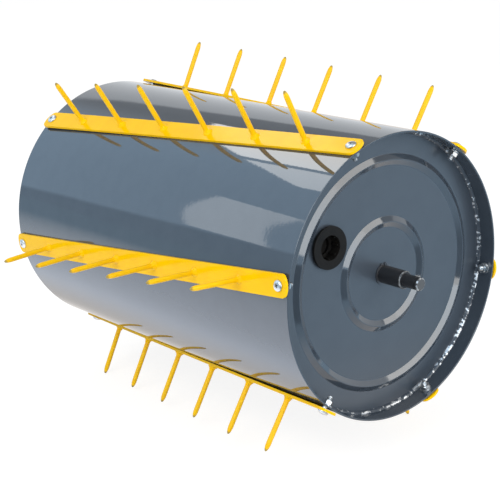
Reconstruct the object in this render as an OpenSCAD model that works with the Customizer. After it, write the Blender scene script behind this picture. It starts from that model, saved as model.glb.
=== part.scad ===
// Lawn aerator roller: a welded steel drum that is filled with water, turning on a through
// axle, with six skewed strips of welded spikes screwed round it.
// Y runs along the axle, the filler plug is at the -Y end, and Z is up. Lengths in mm.

/* [Drum] */
// Outside diameter of the drum
drum_d = 320; // [280:5:400]
// Length of the drum from edge to edge
drum_len = 520; // [480:10:700]
// Sheet thickness of the rolled drum
wall = 2; // [1.5:0.5:3]

/* [End caps] */
// Depth of the caps' flat faces below the drum's edges
cap_inset = 22; // [20:1:35]
// Sheet thickness of the pressed caps
cap_t = 2.5; // [2:0.5:3]
// Width of each bead across its foot
bead_w = 13; // [10:0.5:14]
// Height of each bead above the flat face
bead_h = 4; // [3.5:0.5:5]
// Leg of the fillet weld between a cap and the drum
seam_leg = 5; // [3:0.5:7]
// Clearance between a cap's edge and the drum's wall
cap_gap = 0.2; // [0.1:0.1:0.5]

/* [Axle and hub] */
// Diameter of the axle between its shoulders
axle_d = 20; // [18:0.5:22]
// Distance from the drum's edge to the axle's shoulder
shoulder_out = 11.5; // [5:0.5:40]
// Diameter of the axle's turned ends
end_d = 14.6; // [10:0.1:16]
// Length of each turned end
end_len = 22.5; // [15:0.5:50]
// Chamfer on the axle's shoulders and end faces
axle_chamfer = 1.2; // [0.5:0.1:2]
// Distance from the end face to the retaining ring groove in a turned end
end_groove_in = 3.5; // [2.5:0.5:6]
// Width of the groove in a turned end
end_groove_w = 2; // [1:0.1:3]
// Depth of the groove in a turned end
end_groove_depth = 1; // [0.5:0.1:1.5]
// Outside diameter of the hub tube welded between the caps
hub_d = 36; // [35:1:44]
// Wall of the hub tube
hub_wall = 3; // [2:0.5:4]
// Length of each plain bush
bush_len = 30; // [15:1:60]
// Running clearance between the axle and a bush, on the radius
run_gap = 0.05; // [0.02:0.01:0.08]
// Clearance between the axle and a cap's centre hole, on the radius
cap_hole_gap = 1; // [0.5:0.1:1.4]
// Leg of the weld between the hub tube and a cap
hub_weld_leg = 4; // [2:0.5:6]
// Thickness of the retaining rings that locate the drum
clip_t = 1.2; // [1:0.1:2]
// Radial width of a retaining ring
clip_w = 2.6; // [2.2:0.1:3]
// Depth of a retaining ring's groove
clip_groove_depth = 0.5; // [0.3:0.1:0.8]
// End float between a retaining ring and a cap
clip_float = 0.4; // [0.3:0.1:1]

/* [Filler] */
// Distance of the filler from the axle
filler_r = 94.8; // [91:0.2:96]
// Angle of the filler round the axle, from +X towards +Z
filler_angle = 149.8; // [0:0.2:360]
// Diameter of the plug's flange
plug_flange_d = 47; // [44:1:48]
// Thickness of the plug's flange
plug_flange_t = 3; // [2:0.5:5]
// Diameter of the plug's threaded barrel
plug_barrel_d = 34; // [33:1:36]
// Length of the plug's barrel
plug_barrel_len = 19; // [16:1:25]
// Diameter of the grip recess in the plug
plug_recess_d = 27; // [24:1:29]
// Depth of the grip recess
plug_recess_depth = 13; // [8:1:14]
// Diameter of the deeper step in the recess
plug_step_d = 20; // [14:1:22]
// Depth of the deeper step
plug_step_depth = 4; // [2:0.5:4]
// Number of grip ribs in the recess
plug_ribs = 8; // [4:1:12]
// Width of a grip rib
plug_rib_w = 1.6; // [1:0.2:2]
// Height of a grip rib above the recess wall
plug_rib_h = 1.4; // [1:0.2:2]
// Clearance between the plug's flange and the foot of the outer bead
outer_bead_gap = 1.7; // [1:0.1:4]
// Clearance between the plug's flange and the foot of the inner bead
inner_bead_gap = 6.3; // [2:0.1:12]
// Thickness of the gasket under the flange
gasket_t = 1.5; // [1:0.5:3]
// Clearance between the plug's barrel and its neck, on the radius
plug_gap = 0.4; // [0.3:0.1:0.6]
// Wall of the neck welded behind the cap
neck_wall = 4; // [3:0.5:5]
// Length of the neck
neck_len = 14; // [8:1:16]

/* [Spike strips] */
// Width of a strip
strip_w = 25; // [20:1:32]
// Thickness of a strip
strip_t = 3; // [2:0.5:5]
// How far a strip runs past each edge of the drum
strip_over = 1.5; // [0:0.5:5]
// Radius of a strip's curved ends
strip_end_r = 20; // [17:1:30]
// Angle between a strip and the axle
skew = 6.12; // [0:0.1:8]
// Clearance between a strip and the drum
strip_gap = 0.05; // [0.02:0.01:0.3]
// Diameter of a spike
spike_d = 6; // [4:0.5:10]
// Length of a spike from the strip to its tip
spike_len = 65; // [30:1:90]
// Length of the tapered tip
tip_len = 11; // [5:1:20]
// Diameter of the blunt end of the tip
tip_end_d = 1.6; // [1:0.2:3]
// Distance between neighbouring spikes, along the axle
spike_pitch = 75; // [50:1:78]
// How much of its place's turn round the drum a spike's direction follows
spike_follow = 0.54; // [0:0.02:1]
// Leg of the weld round a spike's foot
spike_weld_leg = 3; // [1:0.5:4]
// Height of the weld round a spike's foot
spike_weld_h = 5; // [2:0.5:8]

/* [Fasteners] */
// Distance of the screws from the drum's edges
screw_inset = 10; // [9:0.5:12]
// Thread diameter of the screws
screw_d = 6; // [5:1:6]
// Length of a screw under its head
screw_len = 18; // [16:1:20]
// Diameter of a screw's head
head_d = 12; // [10:0.5:13]
// Height of a screw's head
head_h = 3.2; // [3:0.1:5]
// Clearance of the screws in their holes, on the radius
hole_gap = 0.3; // [0.2:0.1:0.6]
// Length of the cross recess's arms
cross_len = 6; // [5:0.5:7]
// Width of the cross recess's arms
cross_w = 1.4; // [1:0.1:2]
// Depth of the cross recess
cross_depth = 1.8; // [1:0.1:2]
// Outside diameter of a washer
washer_d = 12.5; // [11:0.5:14]
// Thickness of a washer
washer_t = 1.6; // [1:0.1:2]
// Width of a nut across its flats
nut_af = 10; // [9:0.5:10]
// Height of a nut
nut_h = 5; // [4:0.5:6]

/* [Hidden] */
$fn = 96;
// A cut runs this far past a face, so that it goes right through
past = 1;
// Two threaded or seated parts of one body stand this far apart on the radius
seat_gap = 0.05;
strips = 6;
spikes_per_strip = 6;
drum_r = drum_d / 2;
half_len = drum_len / 2;
inside_r = drum_r - wall;
cap_face = half_len - cap_inset;
cap_back = cap_face - cap_t;
cap_r = inside_r - cap_gap;
cap_hole_r = axle_d / 2 + cap_hole_gap;
outer_bead_r = filler_r + plug_flange_d / 2 + outer_bead_gap + bead_w / 2;
inner_bead_r = filler_r - plug_flange_d / 2 - inner_bead_gap - bead_w / 2;
bead_rad = (bead_w * bead_w / 4 + bead_h * bead_h) / (2 * bead_h);
shoulder_y = half_len + shoulder_out;
axle_half = shoulder_y + end_len;
clip_y = cap_face + clip_float;
clip_root_r = axle_d / 2 - clip_groove_depth;
clip_lug_r = 1.8;
clip_lug_hole_r = 0.8;
clip_lug_turn = 16;
neck_bore_r = plug_barrel_d / 2 + plug_gap;
neck_r = neck_bore_r + neck_wall;
gasket_rim = 1.5;
strip_in_r = drum_r + strip_gap;
strip_out_r = strip_in_r + strip_t;
strip_half = (half_len + strip_over) / cos(skew);
screw_y = half_len - screw_inset;
screw_turn = asin(screw_y * tan(skew) / strip_out_r);
hole_r = screw_d / 2 + hole_gap;
// A flat washer touches the curved wall with its edge only
washer_top = sqrt(inside_r * inside_r - washer_d * washer_d / 4) - seat_gap;
spike_r = spike_d / 2;

function strip_angle(n) = (n - 1) * 360 / strips;
function spike_y(i) = (i - (spikes_per_strip - 1) / 2) * spike_pitch;
function spike_side(i) = spike_y(i) * tan(skew);
function spike_place_turn(i) = asin(spike_side(i) / strip_out_r);
function spike_turn(i) = spike_place_turn(i) * spike_follow;
// A spike leans a little on the strip's face, so a flat foot of radius r is lifted clear of it
function lift(i, r) = r * abs(sin(spike_place_turn(i) - spike_turn(i)));

// Turns a shape drawn along Z so that it points out of the drum's front end, at -Y
module out_front() {
  rotate([90, 0, 0]) children();
}

// Puts a shape made for the front end at the rear end too
module at_rear() {
  mirror([0, 1, 0]) children();
}

// A round tube along Z from one height to another
module tube(outer_r, inner_r, from_z, to_z) {
  difference() {
    translate([0, 0, from_z]) cylinder(h = to_z - from_z, r = outer_r);
    translate([0, 0, from_z - past]) cylinder(h = to_z - from_z + 2 * past, r = inner_r);
  }
}

// Places a shape drawn along Z on the filler's own axis
module at_filler() {
  rotate([0, -filler_angle, 0]) translate([filler_r, 0, 0]) rotate([0, filler_angle, 0])
    out_front() children();
}

// Places a shape drawn along Z on one strip screw's axis, with Z pointing out of the drum
module at_screw(n, end) {
  rotate([0, -(strip_angle(n) + end * screw_turn), 0]) translate([0, end * screw_y, 0])
    rotate([0, 90, 0]) children();
}

module at_all_screws() {
  for (n = [1 : strips])
    for (end = [-1, 1])
      at_screw(n, end) children();
}

// Places a shape drawn along Z at one spike's foot, with Z pointing along the spike
module at_spike(n, i) {
  rotate([0, -strip_angle(n), 0])
    translate([strip_out_r * cos(spike_place_turn(i)), spike_y(i), spike_side(i)])
      rotate([0, 90 - spike_turn(i), 0]) children();
}

// Half of the axle, along Z from the middle of the drum to the end face
module axle_half_turned() {
  body_r = axle_d / 2;
  end_r = end_d / 2;
  difference() {
    union() {
      cylinder(h = shoulder_y - axle_chamfer, r = body_r);
      translate([0, 0, shoulder_y - axle_chamfer])
        cylinder(h = axle_chamfer, r1 = body_r, r2 = body_r - axle_chamfer);
      cylinder(h = axle_half - axle_chamfer, r = end_r);
      translate([0, 0, axle_half - axle_chamfer])
        cylinder(h = axle_chamfer, r1 = end_r, r2 = end_r - axle_chamfer);
    }
    tube(body_r + past, clip_root_r, clip_y - seat_gap, clip_y + clip_t + seat_gap);
    tube(body_r + past, end_r - end_groove_depth,
      axle_half - end_groove_in - end_groove_w, axle_half - end_groove_in);
  }
}

module axle_shaft() {
  color("#1d1e20") {
    out_front() axle_half_turned();
    at_rear() out_front() axle_half_turned();
  }
}

// A retaining ring with two lugs at its gap, at the front end
module circlip() {
  ring_r = clip_root_r + seat_gap + clip_w;
  lug_at = ring_r - clip_lug_r / 2;
  color("#303236") out_front() rotate([0, 0, 90]) translate([0, 0, clip_y]) difference() {
    union() {
      cylinder(h = clip_t, r = ring_r);
      for (side = [-1, 1])
        rotate([0, 0, side * clip_lug_turn]) translate([lug_at, 0, 0])
          cylinder(h = clip_t, r = clip_lug_r);
    }
    translate([0, 0, -past]) cylinder(h = clip_t + 2 * past, r = clip_root_r + seat_gap);
    translate([0, -clip_lug_r / 2, -past])
      cube([ring_r + clip_lug_r + past, clip_lug_r, clip_t + 2 * past]);
    for (side = [-1, 1])
      rotate([0, 0, side * clip_lug_turn]) translate([lug_at, 0, -past])
        cylinder(h = clip_t + 2 * past, r = clip_lug_hole_r);
  }
}

module drum_shell() {
  color("#4c5866") difference() {
    out_front() tube(drum_r, inside_r, -half_len, half_len);
    at_all_screws() translate([0, 0, inside_r - wall]) cylinder(h = 3 * wall, r = hole_r);
  }
}

// The raised arc of one bead, with the sheet's thickness under it
module bead_arch(crest_r) {
  foot = bead_w / 2 + past;
  intersection() {
    translate([crest_r, cap_face + bead_h - bead_rad]) difference() {
      circle(r = bead_rad);
      circle(r = bead_rad - cap_t);
    }
    translate([crest_r - foot, cap_back]) square([2 * foot, bead_h + cap_t + past]);
  }
}

// The hollow that a bead leaves behind the sheet
module bead_hollow(crest_r) {
  intersection() {
    translate([crest_r, cap_face + bead_h - bead_rad]) circle(r = bead_rad - cap_t);
    translate([crest_r - bead_w, cap_back - past]) square([2 * bead_w, bead_h + cap_t + past]);
  }
}

// The pressed disc, at the front end
module end_cap() {
  out_front() rotate_extrude() {
    difference() {
      translate([cap_hole_r, cap_back]) square([cap_r - cap_hole_r, cap_t]);
      bead_hollow(outer_bead_r);
      bead_hollow(inner_bead_r);
    }
    bead_arch(outer_bead_r);
    bead_arch(inner_bead_r);
  }
}

module front_end_cap() {
  color("#4f5b68") difference() {
    end_cap();
    at_filler() translate([0, 0, cap_back - past]) cylinder(h = cap_t + 2 * past, r = neck_bore_r);
  }
}

module rear_end_cap() {
  color("#4f5b68") at_rear() end_cap();
}

// The fillet weld round a cap, in the corner between its face and the drum's wall
module seam_weld() {
  edge = inside_r - seat_gap;
  color("#a9adb2") out_front() rotate_extrude()
    polygon([[edge, cap_face], [edge, cap_face + seam_leg], [edge - seam_leg, cap_face]]);
}

module hub_tube() {
  color("#4f5b68") out_front() tube(hub_d / 2, hub_d / 2 - hub_wall, -cap_back, cap_back);
}

module hub_weld() {
  edge = hub_d / 2 + seat_gap;
  out_front() rotate_extrude()
    polygon([[edge, cap_back], [edge + hub_weld_leg, cap_back], [edge, cap_back - hub_weld_leg]]);
}

module hub_welds() {
  color("#a9adb2") {
    hub_weld();
    at_rear() hub_weld();
  }
}

module bush() {
  color("#26282b") out_front()
    tube(hub_d / 2 - hub_wall - seat_gap, axle_d / 2 + run_gap, cap_back - bush_len, cap_back);
}

module filler_neck() {
  color("#4f5b68") at_filler() tube(neck_r, neck_bore_r, cap_back - neck_len, cap_back);
}

// The outline of a strip, along X, with curved ends
module strip_outline() {
  square([2 * (strip_half - strip_end_r), strip_w], center = true);
  intersection() {
    square([2 * strip_half, strip_w], center = true);
    for (side = [-1, 1])
      translate([side * (strip_half - strip_end_r), 0]) circle(r = strip_end_r);
  }
}

// A flat bar laid on the drum askew, bent to it and drilled for its two screws
module spike_strip(n) {
  color("#f5b800") difference() {
    intersection() {
      out_front() tube(strip_out_r, strip_in_r, -2 * half_len, 2 * half_len);
      rotate([0, -strip_angle(n), 0]) rotate([90 + skew, 0, 0]) rotate([0, 90, 0])
        linear_extrude(height = strip_out_r + past) strip_outline();
    }
    for (end = [-1, 1])
      at_screw(n, end) translate([0, 0, strip_in_r - strip_t]) cylinder(h = 3 * strip_t, r = hole_r);
  }
}

// One strip's spikes, each a round rod with a tapered, blunt tip
module strip_spikes(n) {
  taper_z = spike_len - tip_len;
  color("#f5b800") for (i = [0 : spikes_per_strip - 1])
    at_spike(n, i) rotate_extrude()
      polygon([[0, lift(i, spike_r)], [spike_r, lift(i, spike_r)], [spike_r, taper_z],
        [tip_end_d / 2, spike_len], [0, spike_len]]);
}

// The fillet welds round the feet of one strip's spikes
module strip_welds(n) {
  foot_r = spike_r + spike_weld_leg;
  top_r = spike_r + 2 * seat_gap;
  color("#e3a900") for (i = [0 : spikes_per_strip - 1])
    at_spike(n, i) translate([0, 0, lift(i, foot_r)]) difference() {
      cylinder(h = spike_weld_h, r1 = foot_r, r2 = top_r);
      translate([0, 0, -past]) cylinder(h = spike_weld_h + 2 * past, r = spike_r + seat_gap);
    }
}

// A pan head screw with a cross recess, with Z at its thread's axis and its tip inward
module screw() {
  difference() {
    union() {
      translate([0, 0, strip_out_r]) cylinder(h = head_h / 2, r = head_d / 2);
      translate([0, 0, strip_out_r + head_h / 2])
        cylinder(h = head_h / 2, r1 = head_d / 2, r2 = head_d / 2 - head_h / 2);
      translate([0, 0, strip_out_r - screw_len]) cylinder(h = screw_len, r = screw_d / 2);
    }
    for (turn = [0, 90])
      rotate([0, 0, turn]) translate([-cross_len / 2, -cross_w / 2, strip_out_r + head_h - cross_depth])
        cube([cross_len, cross_w, cross_depth + past]);
  }
}

module strip_screws() {
  color("#c9ccd1") at_all_screws() screw();
}

module strip_washers() {
  color("#c9ccd1") at_all_screws()
    tube(washer_d / 2, screw_d / 2 + hole_gap, washer_top - washer_t, washer_top);
}

module strip_nuts() {
  nut_top = washer_top - washer_t;
  color("#c9ccd1") at_all_screws() difference() {
    translate([0, 0, nut_top - nut_h]) cylinder(h = nut_h, r = nut_af / 2 / cos(30), $fn = 6);
    translate([0, 0, nut_top - nut_h - past]) cylinder(h = nut_h + 2 * past, r = screw_d / 2 + seat_gap);
  }
}

module filler_plug() {
  seat = cap_face + gasket_t;
  front = seat + plug_flange_t;
  recess_floor = front - plug_recess_depth;
  color("#17181a") at_filler() difference() {
    union() {
      difference() {
        union() {
          translate([0, 0, seat]) cylinder(h = plug_flange_t, r = plug_flange_d / 2);
          translate([0, 0, seat - plug_barrel_len]) cylinder(h = plug_barrel_len, r = plug_barrel_d / 2);
        }
        translate([0, 0, recess_floor]) cylinder(h = plug_recess_depth + past, r = plug_recess_d / 2);
      }
      for (k = [0 : plug_ribs - 1])
        rotate([0, 0, k * 360 / plug_ribs])
          translate([plug_recess_d / 2 - plug_rib_h, -plug_rib_w / 2, recess_floor])
            cube([2 * plug_rib_h, plug_rib_w, plug_recess_depth - plug_flange_t]);
    }
    translate([0, 0, recess_floor - plug_step_depth])
      cylinder(h = plug_step_depth + past, r = plug_step_d / 2);
  }
}

module filler_gasket() {
  color("#101112") at_filler()
    tube(plug_flange_d / 2 - gasket_rim, neck_bore_r, cap_face, cap_face + gasket_t);
}

axle_shaft();
circlip();  // front_circlip
at_rear() circlip();  // rear_circlip
drum_shell();
front_end_cap();
rear_end_cap();
seam_weld();  // front_seam_weld
at_rear() seam_weld();  // rear_seam_weld
hub_tube();
hub_welds();
bush();  // front_bush
at_rear() bush();  // rear_bush
filler_neck();
spike_strip(1);  // spike_strip_1
spike_strip(2);  // spike_strip_2
spike_strip(3);  // spike_strip_3
spike_strip(4);  // spike_strip_4
spike_strip(5);  // spike_strip_5
spike_strip(6);  // spike_strip_6
strip_spikes(1);  // strip_1_spikes
strip_spikes(2);  // strip_2_spikes
strip_spikes(3);  // strip_3_spikes
strip_spikes(4);  // strip_4_spikes
strip_spikes(5);  // strip_5_spikes
strip_spikes(6);  // strip_6_spikes
strip_welds(1);  // strip_1_welds
strip_welds(2);  // strip_2_welds
strip_welds(3);  // strip_3_welds
strip_welds(4);  // strip_4_welds
strip_welds(5);  // strip_5_welds
strip_welds(6);  // strip_6_welds
strip_screws();
strip_washers();
strip_nuts();
filler_plug();
filler_gasket();
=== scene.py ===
import math

import bmesh
import bpy
from mathutils import Matrix, Quaternion, Vector, noise


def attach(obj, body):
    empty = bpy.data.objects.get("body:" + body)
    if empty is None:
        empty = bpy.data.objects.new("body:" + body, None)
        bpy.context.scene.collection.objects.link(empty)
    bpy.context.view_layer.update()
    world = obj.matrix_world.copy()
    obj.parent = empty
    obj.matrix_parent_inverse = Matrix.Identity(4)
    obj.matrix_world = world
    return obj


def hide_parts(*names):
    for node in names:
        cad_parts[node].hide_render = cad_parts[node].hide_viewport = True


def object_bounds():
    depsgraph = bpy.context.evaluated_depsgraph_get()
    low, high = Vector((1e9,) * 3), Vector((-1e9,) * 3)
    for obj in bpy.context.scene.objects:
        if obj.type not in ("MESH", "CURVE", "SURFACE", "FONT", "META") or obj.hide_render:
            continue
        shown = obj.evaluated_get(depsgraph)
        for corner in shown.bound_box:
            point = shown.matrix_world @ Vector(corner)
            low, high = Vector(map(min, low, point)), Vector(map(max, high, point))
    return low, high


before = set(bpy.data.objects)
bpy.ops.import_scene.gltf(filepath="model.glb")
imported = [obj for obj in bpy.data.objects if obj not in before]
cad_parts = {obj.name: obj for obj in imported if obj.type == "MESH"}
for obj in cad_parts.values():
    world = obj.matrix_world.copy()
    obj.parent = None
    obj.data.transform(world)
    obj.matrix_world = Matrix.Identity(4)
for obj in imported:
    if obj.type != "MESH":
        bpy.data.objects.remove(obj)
cad_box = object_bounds()
mm = 0.001

# The studio has a white floor that runs out of sight, pale walls and soft boxes: large ones in
# front and at the left, and three behind, which the paint on the drum's side mirrors. The camera
# stands where the photograph was taken from.


class Socket:
    """One output of a shader's nodes. Sums on it add Math nodes, and node() adds any other node."""

    def __init__(self, tree, output=None):
        self.tree = tree
        self.output = output

    def node(self, kind, settings, inputs, out=0):
        added = self.tree.nodes.new(kind)
        for name, value in settings.items():
            setattr(added, name, value)
        for name, value in inputs.items():
            if isinstance(value, Socket):
                self.tree.links.new(value.output, added.inputs[name])
            else:
                added.inputs[name].default_value = value
        return Socket(self.tree, added.outputs[out]) if added.outputs else None

    def maths(self, operation, *values):
        return self.node("ShaderNodeMath", {"operation": operation}, dict(enumerate(values)))

    def __add__(self, other):
        return self.maths("ADD", self, other)

    def __sub__(self, other):
        return self.maths("SUBTRACT", self, other)

    def __rsub__(self, other):
        return self.maths("SUBTRACT", other, self)

    def __mul__(self, other):
        return self.maths("MULTIPLY", self, other)

    __radd__ = __add__
    __rmul__ = __mul__

    def step(self, start, end):
        """0 below start, 1 above end, and smooth in between."""
        return self.node("ShaderNodeMapRange", {"interpolation_type": "SMOOTHSTEP"},
                         {"Value": self, "From Min": start, "From Max": end})


def new_finish(name):
    """A finish still without its shader, and the place on the roller that its patterns read."""
    finish = bpy.data.materials.new(name)
    finish.use_nodes = True
    finish.node_tree.nodes.clear()
    return finish, Socket(finish.node_tree).node("ShaderNodeTexCoord", {}, {}, "Object")


def mixed(share, first, second):
    """The first colour where the share is 0, the second where it is 1, and a blend in between."""
    return share.node("ShaderNodeMix", {"data_type": "RGBA"}, {0: share, 6: first, 7: second}, 2)


def mirrored(shader):
    """1 for a ray that comes off gloss or through glass, and 0 for any other ray."""
    return (shader.node("ShaderNodeLightPath", {}, {}, "Is Glossy Ray")
            + shader.node("ShaderNodeLightPath", {}, {}, "Is Transmission Ray"))


camera_azimuth = math.radians(-39.64)
camera_height = math.radians(16.30)
camera_roll = math.radians(-2.11)
camera = bpy.data.objects.new("camera", bpy.data.cameras.new("camera"))
camera.data.lens = 97.63
camera.data.sensor_width = 36
camera.data.clip_start = 0.05
camera.data.clip_end = 100
towards_camera = Vector((
    math.sin(camera_azimuth) * math.cos(camera_height),
    -math.cos(camera_azimuth) * math.cos(camera_height),
    math.sin(camera_height),
))
camera.location = (-1.01214, -1.23330, 0.44557)
camera.rotation_mode = "QUATERNION"
camera.rotation_quaternion = (
    (-towards_camera).to_track_quat("-Z", "Y") @ Quaternion((0, 0, 1), camera_roll))
bpy.context.scene.collection.objects.link(camera)
bpy.context.scene.camera = camera
bpy.context.scene.view_settings.view_transform = "Standard"

floor_finish, place = new_finish("studio_floor")
camera_ray = place.node("ShaderNodeLightPath", {}, {}, "Is Camera Ray")
mirrored_ray = mirrored(place)
far_off = place.node("ShaderNodeVectorMath", {"operation": "LENGTH"}, {0: place}, "Value")
across = place.node("ShaderNodeSeparateXYZ", {}, {"Vector": place}, "X")
along = place.node("ShaderNodeSeparateXYZ", {}, {"Vector": place}, "Y")
# Gloss paint mirrors the floor's glow: painted blue as in daylight in front and far to the left,
# plain behind with a painted pool of light at its left, and a painted shadow in front of the cap
far_left = far_off.step(0.3, 2.2) * (1 - across.step(0.0, 0.4))
behind = along.step(-0.50, -0.28) * (1 - far_left)
painted_light_pool = behind * (1 - across.step(-0.19, -0.06))
painted_shadow = (1 - across.step(0.02, 0.10)) * (1 - along.step(-0.58, -0.50))
floor_behind = mixed(painted_light_pool, (1, 0.95, 0.91, 1), (0.83, 0.89, 1, 1))
mirrored_floor = mixed(behind, (0.51, 0.74, 0.96, 1), floor_behind)
paper = place.node("ShaderNodeBsdfDiffuse", {}, {"Color": (0.86, 0.86, 0.86, 1)})
white = place.node("ShaderNodeEmission", {}, {
    "Color": mixed(mirrored_ray, (1, 1, 1, 1), mirrored_floor),
    "Strength": 1.22 + mirrored_ray * (painted_light_pool - 0.20 - 0.75 * painted_shadow)})
# To the camera the floor is two thirds this white and one third paper, which takes the shadow
place.node("ShaderNodeOutputMaterial", {}, {"Surface": place.node("ShaderNodeMixShader", {}, {
    0: 0.68 * camera_ray + mirrored_ray, 1: paper, 2: white})})
shape = bmesh.new()
bmesh.ops.create_grid(shape, x_segments=1, y_segments=1, size=30)
bmesh.ops.translate(shape, verts=shape.verts, vec=(0, 0, cad_box[0].z))
floor = bpy.data.objects.new("studio_floor", bpy.data.meshes.new("studio_floor"))
shape.to_mesh(floor.data)
shape.free()
floor.data.materials.append(floor_finish)
bpy.context.scene.collection.objects.link(floor)

world = bpy.data.worlds.new("studio_sky")
bpy.context.scene.world = world
world.use_nodes = True
world.node_tree.nodes.clear()
sky = Socket(world.node_tree)
mirrored_ray = mirrored(sky)
direction = sky.node("ShaderNodeTexCoord", {}, {}, "Generated")
across = sky.node("ShaderNodeSeparateXYZ", {}, {"Vector": direction}, "X")
upward = sky.node("ShaderNodeSeparateXYZ", {}, {"Vector": direction}, "Z")
# Gloss paint mirrors a bright blue wall at the left, and a pale one under a dark ceiling at the
# right
left_side = 1 - across.step(-0.1, 0.3)
left_wall = (upward + 1.1 * across).step(-0.52, -0.47)
right_ceiling = (upward + 0.24 * across).step(0.545, 0.565)
mirrored_walls = mixed(left_side, (0.94, 0.97, 1, 1), (0.54, 0.76, 1, 1))
sky.node("ShaderNodeOutputWorld", {}, {"Surface": sky.node("ShaderNodeBackground", {}, {
    "Color": mixed(mirrored_ray, (1, 1, 1, 1), mirrored_walls),
    "Strength": 0.62 + mirrored_ray * (
        0.31 + 0.66 * left_side * left_wall + (1 - left_side) * (0.22 - 0.67 * right_ceiling))})})

for name, azimuth, elevation, far, width, tall, tilt, glow in (
    ("front_soft_box", 11, 19, 2.6, 3.0, 1.2, 31, 3.2),
    ("left_soft_box", -75, 38, 2.6, 2.0, 1.6, 0, 3.0),
    ("high_back_soft_box", 167.5, 45.6, 2.63, 0.95, 0.44, 25, 3.4),
    ("low_back_soft_box", -167.2, 50.4, 2.63, 0.50, 0.44, 6, 2.2),
    ("side_back_soft_box", -138.9, 22.9, 2.6, 0.27, 0.95, 20, 1.2),
):
    lamp = bpy.data.objects.new(name, bpy.data.lights.new(name, "AREA"))
    lamp.data.shape = "RECTANGLE"
    lamp.data.size = width
    lamp.data.size_y = tall
    lamp.data.energy = glow * math.pi * width * tall
    lamp.data.color = (1, 0.97, 0.92)
    turn, rise = math.radians(azimuth), math.radians(elevation)
    towards = Vector((math.sin(turn) * math.cos(rise), -math.cos(turn) * math.cos(rise),
                      math.sin(rise)))
    lamp.location = towards * far
    lamp.rotation_mode = "QUATERNION"
    lamp.rotation_quaternion = (
        (-towards).to_track_quat("-Z", "Y") @ Quaternion((0, 0, 1), math.radians(tilt)))
    lamp.visible_camera = False
    bpy.context.scene.collection.objects.link(lamp)

# The drum is 2 mm steel sheet, rolled and welded, 320 mm across and 520 mm long.
# It is sprayed in a glossy slate grey that mirrors what stands round it, a little wavy.

drum_r = 160 * mm
drum_wall = 2 * mm
drum_half = 260 * mm
drum_edge_round = 0.5 * mm
crease = math.radians(32)
slate = (0.040, 0.054, 0.074, 1)
slate_deep = (0.036, 0.049, 0.068, 1)


def grains(place, per_metre, detail):
    """Soft random grains with values round 0.5, about so many to the metre."""
    return place.node("ShaderNodeTexNoise", {}, {
        "Vector": place, "Scale": per_metre, "Detail": detail})


def from_axis(place):
    """How far a place is from the roller's axis."""
    beside = place.node("ShaderNodeVectorMath", {"operation": "MULTIPLY"}, {0: place, 1: (1, 0, 1)})
    return beside.node("ShaderNodeVectorMath", {"operation": "LENGTH"}, {0: beside}, "Value")


def surface(place, looks, height=None):
    """Ends a finish in one shader with these looks, and a bump of this height in metres."""
    if height:
        looks["Normal"] = place.node("ShaderNodeBump", {}, {
            "Strength": 1.0, "Distance": 1.0, "Height": height})
    place.node("ShaderNodeOutputMaterial", {}, {
        "Surface": place.node("ShaderNodeBsdfPrincipled", {}, looks)})


def enamel(name, colour, deep, gloss, roughness, wave, wave_size, peel, rings=(), darker_from=None):
    """Gloss paint: a colour that drifts a little, slow waves in the sheet and fine orange peel.
    Round the rings it is drawn tight and glossier, and from a radius outward it turns a dark olive."""
    finish, place = new_finish(name)
    radius = from_axis(place)
    slow = grains(place, 1 / wave_size, 1.0)
    cloud = grains(place, 45.0, 6.0)
    fine = grains(place, 250.0, 2.0)
    speck = grains(place, 900.0, 1.0)
    base = mixed(cloud.step(0.35, 0.7), colour, deep)
    if darker_from:
        base = mixed(radius.step(darker_from, darker_from + 3 * mm), base, (0.36, 0.26, 0.05, 1))
    rough = roughness + 0.03 * cloud + 0.08 * speck.step(0.70, 0.78)
    for ring_r, ring_half in rings:
        off_ring = place.maths("ABSOLUTE", radius - ring_r)
        on_ring = 1 - off_ring.step(ring_half - 1 * mm, ring_half + 1 * mm)
        rough = rough - (roughness - 0.05) * on_ring
    surface(place, {"Base Color": base, "Roughness": rough, "Specular IOR Level": gloss},
            slow * wave + fine * peel)
    return finish


def turned(profile, steps=192):
    """A shape of revolution round Z, from its outline as (radius, height) points."""
    shape = bmesh.new()
    line = [shape.verts.new((radius, 0, height)) for radius, height in profile]
    ends = line[1:] + line[:1] if profile[0][0] > 0 else line[1:]
    edges = [shape.edges.new(pair) for pair in zip(line, ends)]
    bmesh.ops.spin(shape, geom=line + edges, cent=(0, 0, 0), axis=(0, 0, 1), angle=math.tau,
                   steps=steps, use_merge=True)
    bmesh.ops.remove_doubles(shape, verts=shape.verts, dist=0.001 * mm)
    bmesh.ops.recalc_face_normals(shape, faces=shape.faces)
    return shape


def soften(shape, width, segments=2):
    """Rounds the edges of a shape that are sharper than a crease."""
    sharp = [e for e in shape.edges if len(e.link_faces) == 2 and e.calc_face_angle() > crease]
    bmesh.ops.bevel(shape, geom=sharp, offset=width, offset_type="OFFSET", segments=segments,
                    profile=0.5, affect="EDGES", clamp_overlap=True, material=-1)


def fitted(shape, name, finish, body, slot, *nodes):
    """Makes a shape one piece of the roller, with its finish, its body and the nodes it shows."""
    for edge in shape.edges:
        edge.smooth = len(edge.link_faces) != 2 or edge.calc_face_angle() < crease
    for face in shape.faces:
        face.smooth = True
    mesh = bpy.data.meshes.new(name)
    shape.to_mesh(mesh)
    shape.free()
    mesh.materials.append(finish)
    piece = bpy.data.objects.new(name, mesh)
    bpy.context.scene.collection.objects.link(piece)
    even = piece.modifiers.new("even_normals", "WEIGHTED_NORMAL")
    even.keep_sharp = True
    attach(piece, body)
    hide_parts(*nodes)
    return piece


# A turned shape's Z points out of the drum's front end, at -Y, or out of its rear end
front = Matrix.Rotation(math.radians(90), 4, "X")
rear = Matrix.Rotation(math.radians(-90), 4, "X")

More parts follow.
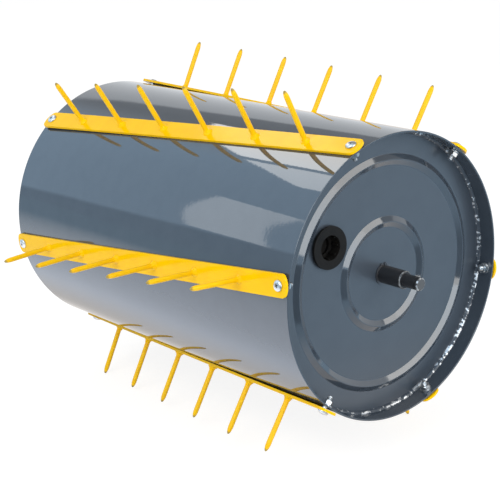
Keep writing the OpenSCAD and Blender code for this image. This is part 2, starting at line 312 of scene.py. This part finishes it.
drum_enamel = enamel("drum_enamel", slate, slate_deep, gloss=1.0, roughness=0.02,
                     wave=0.4 * mm, wave_size=120 * mm, peel=0.012 * mm)
shape = turned([
    (drum_r - drum_wall, -drum_half), (drum_r, -drum_half),
    (drum_r, drum_half), (drum_r - drum_wall, drum_half)], steps=288)
soften(shape, drum_edge_round, segments=3)
bmesh.ops.transform(shape, matrix=front, verts=shape.verts)
fitted(shape, "drum_sheet", drum_enamel, "drum", "drum_paint", "drum_shell")

# Each end is closed by a pressed steel disc, 2.5 mm thick and set 22 mm into the drum, with
# two round beads that stiffen it. The front one has the hole for the filler plug. The paint is
# drier than the drum's on the flats, and drawn tight and glossy over the beads.

cap_face = drum_half - 22 * mm
cap_thick = 2.5 * mm
cap_r = drum_r - drum_wall - 0.2 * mm
cap_hole_r = 11 * mm
bead_half = 6.5 * mm
bead_slope = math.radians(30)
bead_crest_round = 1.2 * mm
bead_foot_round = 1.0 * mm
bead_steps = 6
filler_at = Vector((-81.93 * mm, 0, 47.69 * mm))
filler_hole_r = 17.4 * mm


def carve(shape, tool, operation="DIFFERENCE"):
    """Cuts a tool's shape out of another, or keeps only what the two share."""
    solids = []
    for rough in (shape, tool):
        mesh = bpy.data.meshes.new("rough")
        rough.to_mesh(mesh)
        rough.free()
        solids.append(bpy.data.objects.new("rough", mesh))
        bpy.context.scene.collection.objects.link(solids[-1])
    change = solids[0].modifiers.new("carve", "BOOLEAN")
    change.operation = operation
    change.solver = "EXACT"
    change.object = solids[1]
    bpy.context.view_layer.update()
    done = solids[0].evaluated_get(bpy.context.evaluated_depsgraph_get())
    carved = bmesh.new()
    carved.from_mesh(done.to_mesh())
    done.to_mesh_clear()
    for solid in solids:
        bpy.data.meshes.remove(solid.data)
    return carved


def bead(crest_r, height):
    """The outline of a bead, from its inner foot to its outer one: rounded feet, straight flanks
    and a rounded crest, as (radius, height) points."""
    rounds = bead_crest_round + bead_foot_round
    rise = (rounds * (1 - math.cos(bead_slope))
            + math.tan(bead_slope) * (bead_half - rounds * math.sin(bead_slope)))
    half = []
    for i in range(bead_steps + 1):
        turn = bead_slope * i / bead_steps
        half.append((bead_half - bead_foot_round * math.sin(turn),
                     bead_foot_round * (1 - math.cos(turn))))
    for i in range(bead_steps, -1, -1):
        turn = bead_slope * i / bead_steps
        half.append((bead_crest_round * math.sin(turn),
                     rise - bead_crest_round * (1 - math.cos(turn))))
    return ([(crest_r - out, height + up) for out, up in half[:-1]]
            + [(crest_r + out, height + up) for out, up in half[::-1]])


bead_crests = (58.5 * mm, 126.5 * mm)
face_line = [(cap_hole_r, cap_face)]
back_line = [(cap_hole_r, cap_face - cap_thick)]
for crest_r in bead_crests:
    face_line += bead(crest_r, cap_face)
    back_line += bead(crest_r, cap_face - cap_thick)
face_line.append((cap_r, cap_face))
back_line.append((cap_r, cap_face - cap_thick))
cap_enamel = enamel("cap_enamel", slate, slate_deep, gloss=1.0, roughness=0.30,
                    wave=0.15 * mm, wave_size=60 * mm, peel=0.006 * mm,
                    rings=[(crest_r, bead_half) for crest_r in bead_crests])
for name, node, end in (("front_cap", "front_end_cap", front), ("rear_cap", "rear_end_cap", rear)):
    shape = turned(face_line + back_line[::-1], steps=288)
    bmesh.ops.transform(shape, matrix=end, verts=shape.verts)
    if node == "front_end_cap":
        hole = bmesh.new()
        bmesh.ops.create_cone(hole, cap_ends=True, segments=96, radius1=filler_hole_r,
                              radius2=filler_hole_r, depth=8 * cap_thick)
        bmesh.ops.transform(hole, verts=hole.verts,
                            matrix=Matrix.Translation(filler_at - Vector((0, cap_face, 0))) @ front)
        shape = carve(shape, hole)
    fitted(shape, name, cap_enamel, "drum", "drum_paint", node)

# A fillet weld runs round each cap, in the corner between it and the drum's wall. It is rough
# and lumpy, and where the spray did not reach it, bare bright steel shows in specks.

weld_leg = 3.4 * mm
weld_corner_r = drum_r - drum_wall - 0.05 * mm
weld_bulge = 0.35
weld_arc_steps = 6
weld_lump = 0.5 * mm
weld_lumps_per_metre = 190
weld_grain = 0.35 * mm

bare_weld, place = new_finish("bare_weld")
spread = grains(place, 26.0, 3.0)
specks = grains(place, 230.0, 4.0)
across = place.node("ShaderNodeSeparateXYZ", {}, {"Vector": place}, "X")
upward = place.node("ShaderNodeSeparateXYZ", {}, {"Vector": place}, "Z")
# More of the steel shows at the right and low down
missed = across * 1.6 - upward * 1.3
steel_shows = (specks * 1.1 + spread * 0.5 + missed * 0.18).step(0.90, 0.95)
surface(place, {
    "Base Color": mixed(steel_shows, slate_deep, (0.58, 0.59, 0.60, 1)),
    "Metallic": steel_shows * 0.9,
    "Roughness": 0.22 + 0.25 * specks,
}, specks * weld_grain)

weld_line = [(weld_corner_r, cap_face)]
for i in range(weld_arc_steps + 1):
    share = i / weld_arc_steps
    bulge = 1 + weld_bulge * math.sin(math.pi * share)
    weld_line.append((weld_corner_r - weld_leg * share * bulge,
                      cap_face + weld_leg * (1 - share) * bulge))
for name, node, end in (("front_seam", "front_seam_weld", front),
                        ("rear_seam", "rear_seam_weld", rear)):
    shape = turned(weld_line, steps=540)
    shape.normal_update()
    for vert in shape.verts:
        reach = math.hypot(vert.co.x, vert.co.y)
        if reach < weld_corner_r - 0.1 * mm and vert.co.z > cap_face + 0.1 * mm:
            vert.co += vert.normal * weld_lump * noise.noise(vert.co * weld_lumps_per_metre)
    bmesh.ops.transform(shape, matrix=end, verts=shape.verts)
    fitted(shape, name, bare_weld, "drum", "bare_weld", node)

# A steel tube is welded between the two caps, so that the tank stays tight round the axle, and
# a short neck behind the front cap takes the filler plug. They are seen through the holes only.


def finish_node(name, finish):
    """Gives a node that keeps its own shape its finish."""
    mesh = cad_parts[name].data
    mesh.materials.clear()
    mesh.materials.append(finish)


hub_enamel = enamel("hub_enamel", slate_deep, slate, gloss=0.5, roughness=0.30,
                    wave=0.1 * mm, wave_size=40 * mm, peel=0.010 * mm)
for name in ("hub_tube", "filler_neck"):
    finish_node(name, hub_enamel)
finish_node("hub_welds", bare_weld)

# A plain nylon bush is pressed into each end of the hub tube, and the axle runs in it.
# Each is moulded and left as it comes, matt and faintly grained.

bush_nylon, place = new_finish("bush_nylon")
grain = grains(place, 1500.0, 2.0)
surface(place, {
    "Base Color": mixed(grain, (0.012, 0.012, 0.013, 1), (0.022, 0.022, 0.024, 1)),
    "Roughness": 0.5 + 0.15 * grain,
}, grain * (0.02 * mm))
for name in ("front_bush", "rear_bush"):
    finish_node(name, bush_nylon)

# One steel bar of 20 mm, turned down at both ends and blackened. The lathe's rings show faintly.
# Bright steel on the chamfers, broken into dashes, and a lighter end face are painted highlights.

axle_r = 10 * mm
axle_end_r = 7.3 * mm
shoulder = 271.5 * mm
axle_half = 294 * mm
chamfer = 1.2 * mm
end_groove_from = axle_half - 5.5 * mm
end_groove_to = end_groove_from + 2 * mm
end_groove_r = 6.3 * mm
clip_groove_from = cap_face + 0.35 * mm
clip_groove_to = clip_groove_from + 1.3 * mm
clip_groove_r = 9.5 * mm
highlight_soft = 0.3 * mm
edge_soft = 0.1 * mm
highlight_deep = chamfer - edge_soft

axle_black, place = new_finish("axle_black")
along = place.maths("ABSOLUTE", place.node("ShaderNodeSeparateXYZ", {}, {"Vector": place}, "Y"))
radius = from_axis(place)
stretched = place.node("ShaderNodeMapping", {}, {"Vector": place, "Scale": (60, 2600, 60)})
rings = grains(stretched, 1.0, 2.0)
highlight_breaks = grains(place, 320.0, 4.0)
# Painted highlights: bright steel on the shoulder's and the end's chamfers, and a lighter end face
at_shoulder = (along.step(shoulder - highlight_deep - highlight_soft, shoulder - highlight_deep)
               * (1 - along.step(shoulder - edge_soft, shoulder + edge_soft))
               * radius.step(axle_r - chamfer - 2 * edge_soft, axle_r - chamfer + 2 * edge_soft))
at_end = (along.step(axle_half - highlight_deep - highlight_soft, axle_half - highlight_deep)
          * radius.step(axle_end_r - chamfer - highlight_soft, axle_end_r - chamfer))
end_face = along.step(axle_half - edge_soft - highlight_soft, axle_half - edge_soft)
painted_highlight = (at_shoulder * 0.45 + at_end) * highlight_breaks.step(0.42, 0.58)
painted_shine = place.maths("MINIMUM", painted_highlight + end_face * 0.14, 1.0)
surface(place, {
    "Base Color": mixed(painted_shine, (0.014, 0.015, 0.018, 1), (0.46, 0.48, 0.50, 1)),
    "Metallic": painted_highlight * 0.8,
    "Roughness": 0.30 + 0.14 * rings,
}, rings * (0.012 * mm))

half_line = [
    (axle_r, 0), (axle_r, clip_groove_from), (clip_groove_r, clip_groove_from),
    (clip_groove_r, clip_groove_to), (axle_r, clip_groove_to),
    (axle_r, shoulder - chamfer), (axle_r - chamfer, shoulder),
    (axle_end_r, shoulder), (axle_end_r, end_groove_from), (end_groove_r, end_groove_from),
    (end_groove_r, end_groove_to), (axle_end_r, end_groove_to),
    (axle_end_r, axle_half - chamfer), (axle_end_r - chamfer, axle_half), (0, axle_half)]
shape = turned([(radius, -height) for radius, height in half_line[:0:-1]] + half_line[1:], steps=96)
soften(shape, 0.15 * mm)
bmesh.ops.transform(shape, matrix=front, verts=shape.verts)
fitted(shape, "turned_axle", axle_black, "axle", "axle_black", "axle_shaft")

# A spring steel ring with two lugs snaps into a groove in the axle outside each cap, and keeps
# the drum from sliding along it. The rings are phosphated dark grey.

spring_steel, place = new_finish("spring_steel")
bloom = grains(place, 700.0, 3.0)
surface(place, {
    "Base Color": mixed(bloom, (0.09, 0.09, 0.095, 1), (0.22, 0.22, 0.23, 1)),
    "Metallic": 0.9,
    "Roughness": 0.30 + 0.2 * bloom,
})
for name in ("front_circlip", "rear_circlip"):
    finish_node(name, spring_steel)

# Six flat bars, 25 x 3 mm, are laid on the drum about 6 degrees askew. They rest on it at their
# middle and spring off it towards their ends. They are sprayed bright yellow before they go on.

strip_count = 6
strip_skew = math.radians(6.12)
strip_gap = 0.05 * mm
strip_wide = 25 * mm
strip_thick = 3 * mm
strip_end_y = 261.5 * mm
strip_half = strip_end_y / math.cos(strip_skew)
strip_end_r = 20 * mm
strip_corner_r = 3 * mm
strip_reshaped = 40 * mm
strip_edge_round = 0.5 * mm
strip_spring = 0.6
strip_in_r = drum_r + strip_gap
strip_out_r = strip_in_r + strip_thick
yellow = (0.93, 0.57, 0.001, 1)
yellow_deep = (0.90, 0.53, 0.001, 1)

strip_enamel = enamel("strip_enamel", yellow, yellow_deep, gloss=0.10, roughness=0.14,
                      wave=0.05 * mm, wave_size=30 * mm, peel=0.010 * mm)
for n in range(strip_count):
    shape = bmesh.new()
    bmesh.ops.create_grid(shape, x_segments=160, y_segments=20, size=1)
    # The grid's last stretches bend to the bar's rounded ends, while the bar is still flat
    for vert in shape.verts:
        v = math.sin(vert.co.y * math.pi / 2) * strip_wide / 2
        u = vert.co.x * strip_half
        corner = max(0, abs(v) - strip_wide / 2 + strip_corner_r)
        drop = strip_end_r - math.sqrt(strip_end_r**2 - v * v)
        drop += strip_corner_r - math.sqrt(max(0, strip_corner_r**2 - corner**2))
        near_end = max(0, 1 - (strip_half - abs(u)) / strip_reshaped)
        vert.co = (u - math.copysign(drop * near_end, u), v, 0)
    top = bmesh.ops.extrude_face_region(shape, geom=shape.faces[:])["geom"]
    bmesh.ops.translate(shape, vec=(0, 0, strip_thick),
                        verts=[g for g in top if isinstance(g, bmesh.types.BMVert)])
    bmesh.ops.recalc_face_normals(shape, faces=shape.faces)
    soften(shape, strip_edge_round)
    # It is then laid askew round the drum, and springs off it as far as a straighter bar would
    for vert in shape.verts:
        u, v, high = vert.co
        side = u * math.sin(strip_skew) + v * math.cos(strip_skew)
        along_drum = u * math.cos(strip_skew) - v * math.sin(strip_skew)
        bent = math.sqrt((strip_in_r + high)**2 - side**2)
        vert.co = (bent + strip_spring * (strip_in_r + high - bent), along_drum, side)
    bmesh.ops.rotate(shape, cent=(0, 0, 0), verts=shape.verts,
                     matrix=Matrix.Rotation(-n * math.tau / strip_count, 3, "Y"))
    bmesh.ops.recalc_face_normals(shape, faces=shape.faces)
    fitted(shape, "strip_bar_%d" % (n + 1), strip_enamel, "drum", "strip_paint",
           "spike_strip_%d" % (n + 1))

# Six round steel rods of 6 mm with rounded tips are welded to each strip, 65 mm long and 75 mm
# apart. The weld round each foot is uneven, and the yellow paint runs over it. The tips are a
# dark olive.

spikes_per_strip = 6
spike_pitch = 75 * mm
spike_r = 3 * mm
spike_long = 65 * mm
spike_tip_long = 9.6 * mm
spike_tip_steps = 7
spike_dark_long = 4 * mm
spike_follow = 0.54
foot_r = 6 * mm
foot_high = 5 * mm
foot_lump = 0.9 * mm
foot_lumps_per_metre = 230

spike_enamel = enamel("spike_enamel", yellow, yellow_deep, gloss=0.25, roughness=0.30,
                      wave=0.05 * mm, wave_size=30 * mm, peel=0.010 * mm,
                      darker_from=drum_r + strip_thick + spike_long - spike_dark_long)
spike_line = [(0, 0), (spike_r, 0)]
for i in range(spike_tip_steps, -1, -1):
    turn = math.pi / 2 * i / spike_tip_steps
    spike_line.append((spike_r * math.sin(turn),
                       spike_long - spike_tip_long * (1 - math.cos(turn))))
spike_shape = turned(spike_line, steps=24)
spike_mesh = bpy.data.meshes.new("spike")
spike_shape.to_mesh(spike_mesh)
spike_shape.free()


def add_copy(shape, mesh, place):
    """Adds a copy of a mesh to a shape, at its place."""
    before = len(shape.verts)
    shape.from_mesh(mesh)
    shape.verts.ensure_lookup_table()
    bmesh.ops.transform(shape, matrix=place, verts=shape.verts[before:])


for n in range(strip_count):
    rods = bmesh.new()
    feet = bmesh.new()
    around_drum = Matrix.Rotation(-n * math.tau / strip_count, 4, "Y")
    for i in range(spikes_per_strip):
        y = (i - (spikes_per_strip - 1) / 2) * spike_pitch
        side = y * math.tan(strip_skew)
        turn = math.asin(side / strip_out_r)
        # A rod leans only about half as far round the drum as its foot stands
        lean = turn * spike_follow
        lift = spike_r * abs(math.sin(turn - lean))
        foot_at = (
            around_drum @ Matrix.Translation((strip_out_r * math.cos(turn), y, side))
            @ Matrix.Rotation(math.pi / 2 - lean, 4, "Y"))
        add_copy(rods, spike_mesh, foot_at @ Matrix.Translation((0, 0, lift / 2)))
        ring = turned([
            (0.6 * spike_r, 0), (foot_r, 0), (foot_r - 0.7 * mm, 1.1 * mm),
            (spike_r + 1.2 * mm, 2.2 * mm), (spike_r + 0.5 * mm, 3.6 * mm),
            (spike_r + 0.1 * mm, foot_high), (0.6 * spike_r, foot_high)], steps=28)
        ring.normal_update()
        seed = Vector((n * 3.7, i * 5.3, 1.9))
        for vert in ring.verts:
            if vert.co.z > 0.2 * mm and math.hypot(vert.co.x, vert.co.y) > 0.8 * spike_r:
                out = Vector((vert.co.x, vert.co.y, 0.6 * vert.co.z)).normalized()
                vert.co += out * foot_lump * noise.noise(vert.co * foot_lumps_per_metre + seed)
        ring_mesh = bpy.data.meshes.new("foot")
        ring.to_mesh(ring_mesh)
        ring.free()
        add_copy(feet, ring_mesh, foot_at)
        bpy.data.meshes.remove(ring_mesh)
    fitted(rods, "spike_rods_%d" % (n + 1), spike_enamel, "drum", "strip_paint",
           "strip_%d_spikes" % (n + 1))
    fitted(feet, "spike_feet_%d" % (n + 1), strip_enamel, "drum", "strip_paint",
           "strip_%d_welds" % (n + 1))

# A zinc plated M6 screw with a cross-recessed pan head holds each end of each strip, through
# the drum's skirt, with a flat washer and a hexagon nut inside. Its end stands out of the nut.
# Dark blocks in the cross recesses are painted shade, where a recess falls dark.

screw_y = 250 * mm
screw_turn = math.asin(screw_y * math.tan(strip_skew) / strip_out_r)
screw_r = 3 * mm
screw_long = 18 * mm
thread_pitch = 1 * mm
thread_turns = 8
thread_core_r = 2.45 * mm
thread_crest_r = 2.95 * mm
head_r = 6 * mm
head_high = 3.2 * mm
head_rim = 0.9 * mm
head_fullness = 0.66
head_steps = 5
head_lift = strip_spring * (strip_out_r - strip_out_r * math.cos(screw_turn))
cross_long = 6 * mm
cross_wide = 1.4 * mm
cross_deep = 1.8 * mm
cross_taper = (0.55, 0.8)
# The dark blocks in each cross recess are painted shade
shade_long = 4.2 * mm
shade_wide = 1.2 * mm
shade_thick = 1.1 * mm
shade_middle = head_high - cross_deep + 0.5 * mm
shade_taper = (0.78, 0.95)
washer_r = 6.25 * mm
washer_hole_r = 3.3 * mm
washer_thick = 1.6 * mm
washer_top = math.sqrt((drum_r - drum_wall)**2 - washer_r**2) - 0.05 * mm
nut_flats = 10 * mm
nut_high = 5 * mm
nut_chamfer = 1 * mm

zinc_plate, place = new_finish("zinc_plate")
stain = grains(place, 260.0, 4.0)
brushed = grains(place, 2200.0, 1.0)
surface(place, {
    "Base Color": mixed(stain, (0.66, 0.65, 0.63, 1), (0.46, 0.46, 0.46, 1)),
    "Metallic": 1.0,
    "Roughness": 0.20 + 0.18 * stain,
}, brushed * (0.006 * mm))

# A near-black finish for those blocks: painted shade in the screws' recesses
painted_recess_shade, place = new_finish("painted_recess_shade")
shade_grain = grains(place, 1800.0, 2.0)
surface(place, {
    "Base Color": mixed(shade_grain, (0.02, 0.02, 0.022, 1), (0.06, 0.06, 0.062, 1)),
    "Roughness": 0.6 + 0.2 * shade_grain,
})


def threaded(core_r, crest_r, pitch, turns, around):
    """A rod's helical thread round Z, as one closed ridge, with so many steps around a turn."""
    shape = bmesh.new()
    line = [shape.verts.new(p) for p in (
        (core_r - 0.1 * mm, 0, 0), (crest_r, 0, pitch / 2), (core_r - 0.1 * mm, 0, pitch))]
    edges = [shape.edges.new(pair) for pair in zip(line, line[1:] + line[:1])]
    bmesh.ops.spin(shape, geom=line + edges, cent=(0, 0, 0), axis=(0, 0, 1),
                   dvec=(0, 0, pitch / around), angle=math.tau * turns, steps=around * turns)
    bmesh.ops.holes_fill(shape, edges=[e for e in shape.edges if e.is_boundary], sides=3)
    bmesh.ops.recalc_face_normals(shape, faces=shape.faces)
    return shape


def merged(*shapes):
    """One shape out of several."""
    whole = bmesh.new()
    for shape in shapes:
        mesh = bpy.data.meshes.new("part")
        shape.to_mesh(mesh)
        shape.free()
        whole.from_mesh(mesh)
        bpy.data.meshes.remove(mesh)
    return whole


def cross_arm(turn, long, wide, thick, middle, taper):
    """One bar of a cross in a screw's head, narrower at its foot."""
    arm = bmesh.new()
    bmesh.ops.create_cube(arm, size=1)
    bmesh.ops.scale(arm, verts=arm.verts, vec=(long, wide, thick))
    bmesh.ops.scale(arm, verts=[v for v in arm.verts if v.co.z < 0], vec=(*taper, 1))
    bmesh.ops.transform(arm, verts=arm.verts, matrix=(
        Matrix.Translation((0, 0, middle)) @ Matrix.Rotation(math.radians(turn), 4, "Z")))
    return arm


head_line = []
for i in range(head_steps):
    turn = math.pi / 2 * i / head_steps
    head_line.append((head_r * math.cos(turn)**head_fullness,
                      head_rim + (head_high - head_rim) * math.sin(turn)))
thread_from = -screw_long + 0.6 * mm
screw = turned([
    (0, -screw_long), (thread_core_r - 0.4 * mm, -screw_long), (thread_core_r, thread_from),
    (thread_core_r, thread_from + thread_turns * thread_pitch),
    (screw_r, thread_from + (thread_turns + 0.6) * thread_pitch), (screw_r, 0), (head_r, 0),
    *head_line, (0, head_high)], steps=48)
for turn in (0, 90):
    screw = carve(screw, cross_arm(
        turn, cross_long, cross_wide, 2 * cross_deep, head_high, cross_taper))
# Dark blocks in the cross are painted shade in the recess
recess_shade = merged(*(cross_arm(turn, shade_long, shade_wide, shade_thick, shade_middle, shade_taper)
                for turn in (0, 90)))
thread = threaded(thread_core_r, thread_crest_r, thread_pitch, thread_turns, 20)
bmesh.ops.translate(thread, verts=thread.verts, vec=(0, 0, thread_from))
screw = merged(screw, thread)

washer = turned([
    (washer_hole_r, -washer_thick), (washer_r, -washer_thick), (washer_r, 0), (washer_hole_r, 0)],
    steps=48)
soften(washer, 0.25 * mm)

nut = bmesh.new()
nut_corner_r = nut_flats / 2 / math.cos(math.radians(30))
bmesh.ops.create_cone(nut, cap_ends=True, segments=6, radius1=nut_corner_r, radius2=nut_corner_r,
                      depth=nut_high)
bmesh.ops.translate(nut, verts=nut.verts, vec=(0, 0, -nut_high / 2))
nut = carve(nut, turned([
    (0, -nut_high), (nut_flats / 2 - 0.1 * mm, -nut_high),
    (nut_corner_r + 0.1 * mm, nut_chamfer - nut_high), (nut_corner_r + 0.1 * mm, -nut_chamfer),
    (nut_flats / 2 - 0.1 * mm, 0), (0, 0)], steps=48), "INTERSECT")
bore = bmesh.new()
bmesh.ops.create_cone(bore, cap_ends=True, segments=32, radius1=screw_r + 0.05 * mm,
                      radius2=screw_r + 0.05 * mm, depth=4 * nut_high)
nut = carve(nut, bore)

for shape, inward, name, finish, node in (
    (screw, -head_lift, "zinc_screws", zinc_plate, "strip_screws"),
    (recess_shade, -head_lift, "screw_recess_shade", painted_recess_shade, "strip_screws"),
    (washer, strip_out_r - washer_top, "zinc_washers", zinc_plate, "strip_washers"),
    (nut, strip_out_r - washer_top + washer_thick, "zinc_nuts", zinc_plate, "strip_nuts"),
):
    one = bpy.data.meshes.new("one")
    shape.to_mesh(one)
    shape.free()
    whole = bmesh.new()
    for n in range(strip_count):
        for end in (-1, 1):
            # Each screw stopped at a turn of its own
            twist = (n * 37 + end * 23) % 60
            add_copy(whole, one, (
                Matrix.Rotation(-(n * math.tau / strip_count + end * screw_turn), 4, "Y")
                @ Matrix.Translation((0, end * screw_y, 0)) @ Matrix.Rotation(math.pi / 2, 4, "Y")
                @ Matrix.Translation((0, 0, strip_out_r - inward))
                @ Matrix.Rotation(math.radians(twist), 4, "Z")))
    bpy.data.meshes.remove(one)
    fitted(whole, name, finish, "drum", "zinc_plate", node)

# The tank is filled through a moulded black plug that screws into the neck. Its round flange
# seats on a rubber gasket, and fingers grip the ribs in its recess.

gasket_thick = 1.5 * mm
plug_flange_r = 23.5 * mm
plug_flange_thick = 3 * mm
plug_core_r = 15.9 * mm
plug_core_long = 19 * mm
plug_thread_r = 16.95 * mm
plug_thread_pitch = 2.5 * mm
plug_thread_turns = 6
recess_r = 13.5 * mm
recess_deep = 13 * mm
recess_step_r = 10 * mm
recess_step_deep = 4 * mm
plug_seat = cap_face + gasket_thick
plug_front = plug_seat + plug_flange_thick
plug_end = plug_seat - plug_core_long
recess_floor = plug_front - recess_deep
recess_step_floor = recess_floor - recess_step_deep
rib_count = 8
rib_wide = 1.6 * mm
rib_high = 1.4 * mm
rib_long = 10 * mm

plug_black, place = new_finish("plug_black")
grain = grains(place, 1300.0, 3.0)
scuff = grains(place, 90.0, 5.0)
surface(place, {
    "Base Color": mixed(scuff, (0.006, 0.006, 0.006, 1), (0.014, 0.013, 0.012, 1)),
    "Roughness": 0.34 + 0.16 * scuff,
    "Specular IOR Level": 0.12,
}, grain * (0.015 * mm))
body = turned([
    (0, plug_end), (plug_core_r - 1 * mm, plug_end), (plug_core_r, plug_end + 1 * mm),
    (plug_core_r, plug_seat), (plug_flange_r, plug_seat), (plug_flange_r, plug_front),
    (recess_r, plug_front), (recess_r, recess_floor), (recess_step_r, recess_floor),
    (recess_step_r, recess_step_floor), (0, recess_step_floor)], steps=96)
soften(body, 0.5 * mm)
thread = threaded(plug_core_r, plug_thread_r, plug_thread_pitch, plug_thread_turns, 72)
bmesh.ops.translate(thread, verts=thread.verts, vec=(0, 0, plug_end + 1.2 * mm))
ribs = bmesh.new()
for k in range(rib_count):
    added = bmesh.ops.create_cube(ribs, size=1)["verts"]
    bmesh.ops.scale(ribs, verts=added, vec=(2 * rib_high, rib_wide, rib_long))
    bmesh.ops.transform(ribs, verts=added, matrix=(
        Matrix.Rotation(k * math.tau / rib_count, 4, "Z")
        @ Matrix.Translation((recess_r, 0, recess_floor + rib_long / 2))))
soften(ribs, 0.4 * mm)
shape = merged(body, thread, ribs)
bmesh.ops.transform(shape, matrix=Matrix.Translation(filler_at) @ front, verts=shape.verts)
fitted(shape, "moulded_plug", plug_black, "plug", "plug_black", "filler_plug")

gasket_rubber, place = new_finish("gasket_rubber")
bloom = grains(place, 600.0, 3.0)
surface(place, {
    "Base Color": mixed(bloom, (0.006, 0.006, 0.006, 1), (0.013, 0.013, 0.013, 1)),
    "Roughness": 0.65 + 0.2 * bloom,
})
finish_node("filler_gasket", gasket_rubber)
